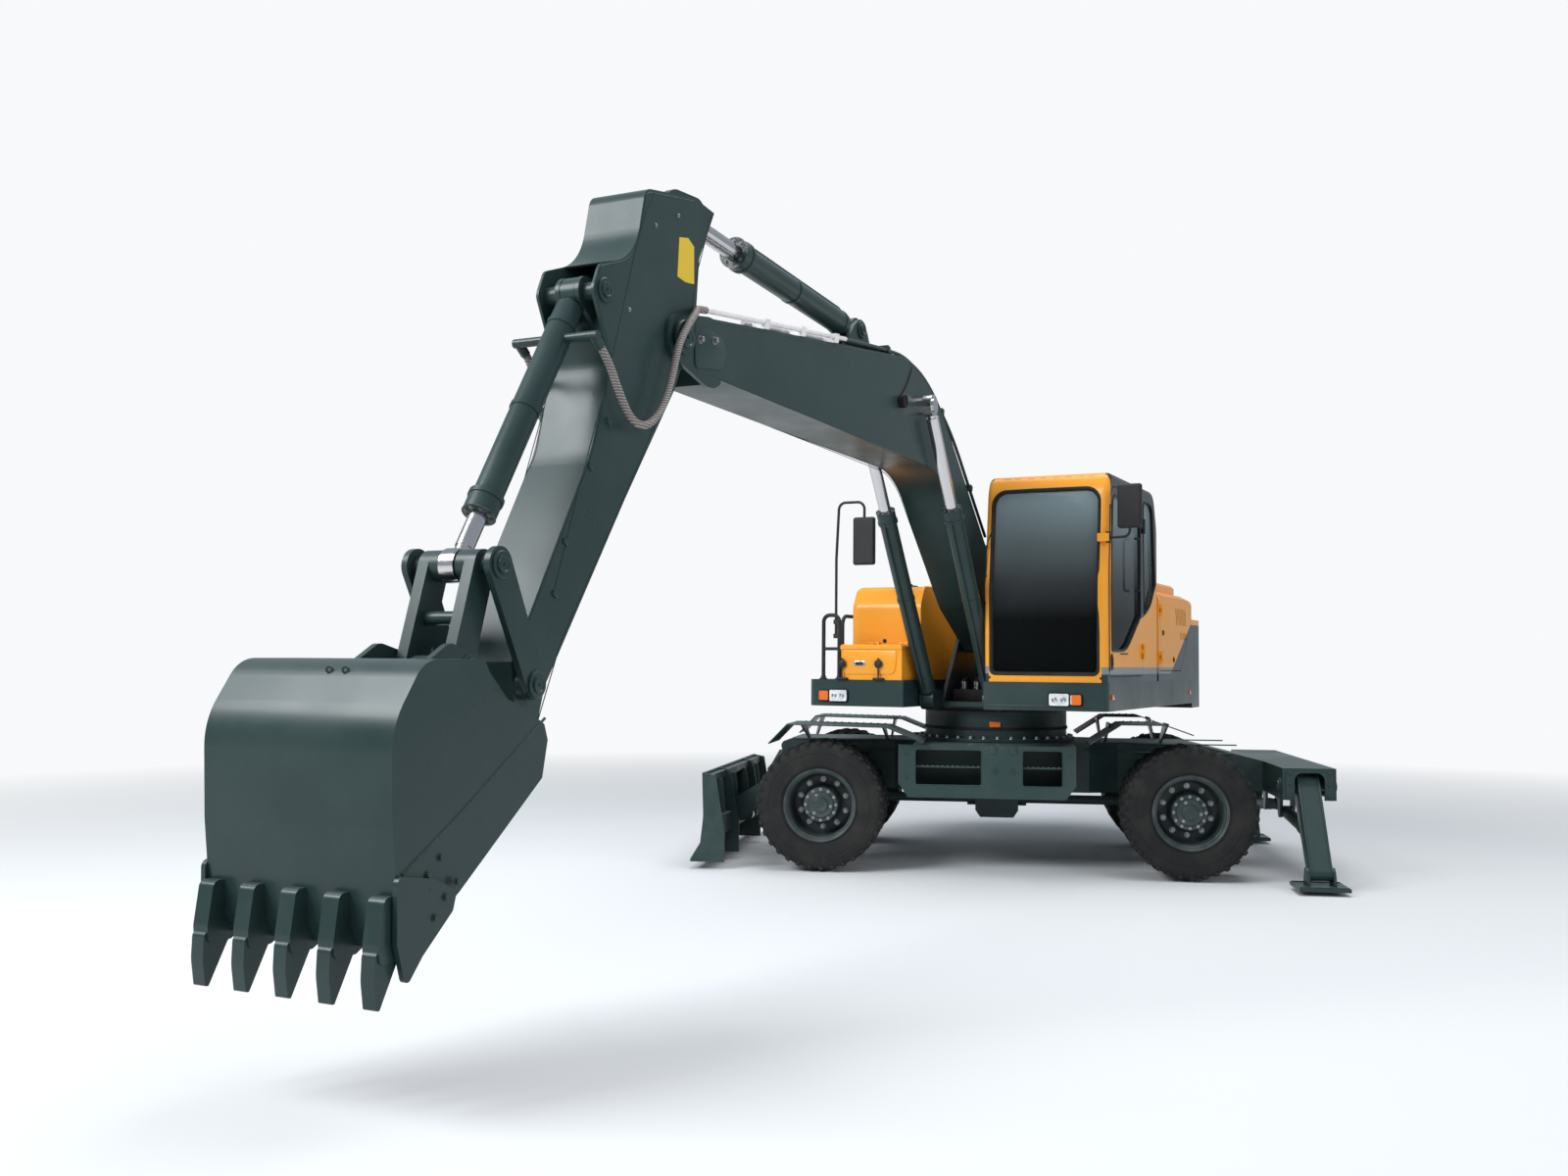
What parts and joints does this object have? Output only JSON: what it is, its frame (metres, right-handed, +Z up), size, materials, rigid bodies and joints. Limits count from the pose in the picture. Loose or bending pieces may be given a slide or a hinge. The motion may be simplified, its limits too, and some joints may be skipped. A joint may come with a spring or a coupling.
{
  "type": "wheeled excavator",
  "caption": "Wheeled excavator with one-piece boom, arm and bucket, closed cab, twin tyres, front dozer blade and rear outriggers; boom, arm, bucket, wheels, steering and doors move.",
  "frame": {"origin": "slewing axis at the floor the tyres stand on", "axes": "+X the way the boom and cab face, +Y the cab side, +Z up"},
  "size_m": [10.9151, 5.6296, 4.1638],
  "materials": {
    "teal_paint": "gloss enamel",
    "yellow_paint": "gloss enamel",
    "dark_paint": "satin enamel",
    "grey_iron": "painted casting",
    "ram_chrome": "polished",
    "tyre_rubber": "moulded",
    "hose_cover": "spiral guard",
    "dark_plastic": "textured",
    "lamp_lens": "clear",
    "tinted_glass": "clear"
  },
  "bodies": {
    "undercarriage": {"chassis_frame": "teal_paint", "slew_ring": "grey_iron", "side_boxes": "teal_paint", "step_plates": "teal_paint", "front_axle": "grey_iron", "rear_axle": "grey_iron", "outrigger_beam": "teal_paint", "tow_hitch": "teal_paint"},
    "knuckle_left": {"knuckle_left": "grey_iron"},
    "knuckle_right": {"knuckle_right": "grey_iron"},
    "wheels_front_left": {"rims_front_left": "dark_paint", "tyres_front_left": "tyre_rubber"},
    "wheels_front_right": {"rims_front_right": "dark_paint", "tyres_front_right": "tyre_rubber"},
    "wheels_rear_left": {"rims_rear_left": "dark_paint", "tyres_rear_left": "tyre_rubber"},
    "wheels_rear_right": {"rims_rear_right": "dark_paint", "tyres_rear_right": "tyre_rubber"},
    "blade": {"dozer_blade": "teal_paint"},
    "blade_tubes": {"blade_ram_tubes": "teal_paint"},
    "blade_rods": {"blade_ram_rods": "ram_chrome"},
    "upper_structure": {"turntable_deck": "teal_paint", "cab_shell": "yellow_paint", "cab_glass": "tinted_glass", "operator_station": "dark_plastic", "rear_bodywork": "yellow_paint", "engine_block": "grey_iron", "counterweight": "grey_iron", "tank_housing": "yellow_paint", "rails_and_mirrors": "dark_paint", "lamps": "lamp_lens"},
    "cab_door": {"cab_door": "yellow_paint", "door_glass": "tinted_glass"},
    "side_door_left": {"side_door_left": "yellow_paint"},
    "side_door_right": {"side_door_right": "yellow_paint"},
    "engine_hood": {"engine_hood": "yellow_paint"},
    "toolbox_lid": {"toolbox_lid": "yellow_paint"},
    "boom": {"boom": "teal_paint", "boom_pipes": "teal_paint", "hose_left": "hose_cover", "hose_right": "hose_cover"},
    "boom_tubes": {"boom_ram_tubes": "teal_paint"},
    "boom_rods": {"boom_ram_rods": "ram_chrome"},
    "arm": {"arm": "teal_paint"},
    "arm_tube": {"arm_ram_tube": "teal_paint"},
    "arm_rod": {"arm_ram_rod": "ram_chrome"},
    "rockers": {"rocker_links": "teal_paint"},
    "bucket_link": {"bucket_link": "teal_paint"},
    "bucket_tube": {"bucket_ram_tube": "teal_paint"},
    "bucket_rod": {"bucket_ram_rod": "ram_chrome"},
    "bucket": {"bucket": "teal_paint", "bucket_teeth": "teal_paint"},
    "leg_left": {"outrigger_leg_left": "teal_paint"},
    "pad_left": {"outrigger_pad_left": "teal_paint"},
    "leg_tube_left": {"outrigger_ram_tube_left": "teal_paint"},
    "leg_rod_left": {"outrigger_ram_rod_left": "ram_chrome"},
    "leg_right": {"outrigger_leg_right": "teal_paint"},
    "pad_right": {"outrigger_pad_right": "teal_paint"},
    "leg_tube_right": {"outrigger_ram_tube_right": "teal_paint"},
    "leg_rod_right": {"outrigger_ram_rod_right": "ram_chrome"}
  },
  "joints": [
    {"name": "slew", "type": "hinge", "parent": "undercarriage", "child": "upper_structure", "pos_m": [0, 0, 1.3], "axis": [0, 0, 1], "continuous": true},
    {"name": "steer_left", "type": "hinge", "parent": "undercarriage", "child": "knuckle_left", "pos_m": [1.1267, -1.07428, 0.523], "axis": [0, 0, 1], "range_deg": [-25, 25]},
    {"name": "steer_right", "type": "hinge", "parent": "undercarriage", "child": "knuckle_right", "pos_m": [-0.25866, -1.53513, 0.523], "axis": [0, 0, 1], "range_deg": [-25.1, 25.1]},
    {"name": "wheel_front_left", "type": "hinge", "parent": "knuckle_left", "child": "wheels_front_left", "pos_m": [1.33545, -1.00484, 0.523], "axis": [0.9489, 0.3156, 0], "continuous": true},
    {"name": "wheel_rear_left", "type": "hinge", "parent": "undercarriage", "child": "wheels_rear_left", "pos_m": [0.43585, 1.69946, 0.523], "axis": [0.9489, 0.3156, 0], "continuous": true},
    {"name": "wheel_front_right", "type": "hinge", "parent": "knuckle_right", "child": "wheels_front_right", "pos_m": [-0.46742, -1.60457, 0.523], "axis": [0.9489, 0.3156, 0], "continuous": true},
    {"name": "wheel_rear_right", "type": "hinge", "parent": "undercarriage", "child": "wheels_rear_right", "pos_m": [-1.36702, 1.09973, 0.523], "axis": [0.9489, 0.3156, 0], "continuous": true},
    {"name": "blade_lift", "type": "hinge", "parent": "undercarriage", "child": "blade", "pos_m": [0.53345, -1.6036, 0.7], "axis": [-0.9489, -0.3156, 0], "range_deg": [-10, 35]},
    {"name": "blade_tube_tilt", "type": "hinge", "parent": "undercarriage", "child": "blade_tubes", "pos_m": [0.56501, -1.69849, 0.93], "axis": [-0.9489, -0.3156, 0], "range_deg": [-8.34, 29]},
    {"name": "blade_rod_slide", "type": "slide", "parent": "blade_tubes", "child": "blade_rods", "axis": [0.1556, -0.4678, -0.87], "range_m": [-0.13578, 0.03911]},
    {"name": "outrigger_left", "type": "hinge", "parent": "undercarriage", "child": "leg_left", "pos_m": [0.32254, 2.57864, 0.74], "axis": [0.3156, -0.9489, 0], "range_deg": [-6, 60]},
    {"name": "pad_tilt_left", "type": "hinge", "parent": "leg_left", "child": "pad_left", "pos_m": [0.74005, 2.71753, 0.136], "axis": [0.3156, -0.9489, 0], "range_deg": [-60.13, 6.13]},
    {"name": "leg_tube_tilt_left", "type": "hinge", "parent": "undercarriage", "child": "leg_tube_left", "pos_m": [-0.42707, 2.32928, 0.47], "axis": [0.3156, -0.9489, 0], "range_deg": [-1.31, 12.87]},
    {"name": "leg_rod_slide_left", "type": "slide", "parent": "leg_tube_left", "child": "leg_rod_left", "axis": [0.9459, 0.3147, -0.0793], "range_m": [-0.02852, 0.27877]},
    {"name": "outrigger_right", "type": "hinge", "parent": "undercarriage", "child": "leg_right", "pos_m": [-1.80294, 1.87159, 0.74], "axis": [-0.3156, 0.9489, 0], "range_deg": [-6, 60]},
    {"name": "pad_tilt_right", "type": "hinge", "parent": "leg_right", "child": "pad_right", "pos_m": [-2.22044, 1.7327, 0.136], "axis": [-0.3156, 0.9489, 0], "range_deg": [-60.13, 6.13]},
    {"name": "leg_tube_tilt_right", "type": "hinge", "parent": "undercarriage", "child": "leg_tube_right", "pos_m": [-1.05333, 2.12095, 0.47], "axis": [-0.3156, 0.9489, 0], "range_deg": [-1.31, 12.87]},
    {"name": "leg_rod_slide_right", "type": "slide", "parent": "leg_tube_right", "child": "leg_rod_right", "axis": [-0.9459, -0.3147, -0.0793], "range_m": [-0.02852, 0.27877]},
    {"name": "cab_door_hinge", "type": "hinge", "parent": "upper_structure", "child": "cab_door", "pos_m": [0.182, 1.3205, 2.27], "axis": [0, 0, 1], "range_deg": [0, 100]},
    {"name": "side_door_left_hinge", "type": "hinge", "parent": "upper_structure", "child": "side_door_left", "pos_m": [-0.502, 1.315, 1.92], "axis": [0, 0, -1], "range_deg": [0, 100]},
    {"name": "side_door_right_hinge", "type": "hinge", "parent": "upper_structure", "child": "side_door_right", "pos_m": [-0.502, -1.215, 1.92], "axis": [0, 0, 1], "range_deg": [0, 100]},
    {"name": "hood_hinge", "type": "hinge", "parent": "upper_structure", "child": "engine_hood", "pos_m": [-0.876, 0, 2.316], "axis": [0, 1, 0], "range_deg": [0, 65]},
    {"name": "toolbox_lid_hinge", "type": "hinge", "parent": "upper_structure", "child": "toolbox_lid", "pos_m": [0.867, -0.63, 1.814], "axis": [0, -1, 0], "range_deg": [0, 70]},
    {"name": "boom_lift", "type": "hinge", "parent": "upper_structure", "child": "boom", "pos_m": [0.204, 0, 1.901], "axis": [0, 1, 0], "range_deg": [-44, 54]},
    {"name": "boom_tube_tilt", "type": "hinge", "parent": "upper_structure", "child": "boom_tubes", "pos_m": [0.88, 0, 1.36], "axis": [0, 1, 0], "range_deg": [-44.11, 54.09]},
    {"name": "boom_rod_slide", "type": "slide", "parent": "boom_tubes", "child": "boom_rods", "axis": [0.5496, 0, 0.8354], "range_m": [-0.7263, 0.59231]},
    {"name": "arm_swing", "type": "hinge", "parent": "boom", "child": "arm", "pos_m": [5.67399, 0, 3.32379], "axis": [0, -1, 0], "range_deg": [-70, 40], "deforming": ["hose_left", "hose_right"]},
    {"name": "arm_tube_tilt", "type": "hinge", "parent": "boom", "child": "arm_tube", "pos_m": [3.0979, 0, 3.91225], "axis": [0, -1, 0], "range_deg": [-0.78, 1.36]},
    {"name": "arm_rod_slide", "type": "slide", "parent": "arm_tube", "child": "arm_rod", "axis": [0.9977, 0, 0.068], "range_m": [-0.46814, 0.81726]},
    {"name": "bucket_curl", "type": "hinge", "parent": "arm", "child": "bucket", "pos_m": [6.94949, 0, 1.28017], "axis": [0, -1, 0], "range_deg": [-115, 19]},
    {"name": "rocker_swing", "type": "hinge", "parent": "arm", "child": "rockers", "pos_m": [6.93641, 0, 1.54666], "axis": [0, -1, 0], "range_deg": [-110.46, 18.46]},
    {"name": "link_swing", "type": "hinge", "parent": "rockers", "child": "bucket_link", "pos_m": [7.19558, 0, 2.05096], "axis": [0, -1, 0], "range_deg": [-9.54, 57.07]},
    {"name": "bucket_tube_tilt", "type": "hinge", "parent": "arm", "child": "bucket_tube", "pos_m": [6.34778, 0, 3.41898], "axis": [0, -1, 0], "range_deg": [-3.44, 0.58]},
    {"name": "bucket_rod_slide", "type": "slide", "parent": "bucket_tube", "child": "bucket_rod", "axis": [0.5268, 0, -0.85], "range_m": [-0.16407, 0.981]}
  ],
  "couplings": [
    {"joint": "steer_right", "follows": "steer_left", "ratio": 1},
    {"joint": "blade_tube_tilt", "follows": "blade_lift", "ratio": 0.82636},
    {"joint": "blade_rod_slide", "follows": "blade_lift", "m_per_rad": -0.22154},
    {"joint": "pad_tilt_left", "follows": "outrigger_left", "ratio": -1},
    {"joint": "leg_tube_tilt_left", "follows": "outrigger_left", "ratio": 0.21409},
    {"joint": "leg_rod_slide_left", "follows": "outrigger_left", "m_per_rad": 0.26553},
    {"joint": "pad_tilt_right", "follows": "outrigger_right", "ratio": -1},
    {"joint": "leg_tube_tilt_right", "follows": "outrigger_right", "ratio": 0.21409},
    {"joint": "leg_rod_slide_right", "follows": "outrigger_right", "m_per_rad": 0.26553},
    {"joint": "boom_tube_tilt", "follows": "boom_lift", "ratio": 0.99813},
    {"joint": "boom_rod_slide", "follows": "boom_lift", "m_per_rad": -0.76774},
    {"joint": "arm_tube_tilt", "follows": "arm_swing", "ratio": -0.0194},
    {"joint": "arm_rod_slide", "follows": "arm_swing", "m_per_rad": -0.66676},
    {"joint": "rocker_swing", "follows": "bucket_curl", "ratio": 0.95827},
    {"joint": "link_swing", "follows": "bucket_curl", "ratio": -0.49507},
    {"joint": "bucket_tube_tilt", "follows": "bucket_curl", "ratio": 0.029875},
    {"joint": "bucket_rod_slide", "follows": "bucket_curl", "m_per_rad": -0.48757}
  ]
}
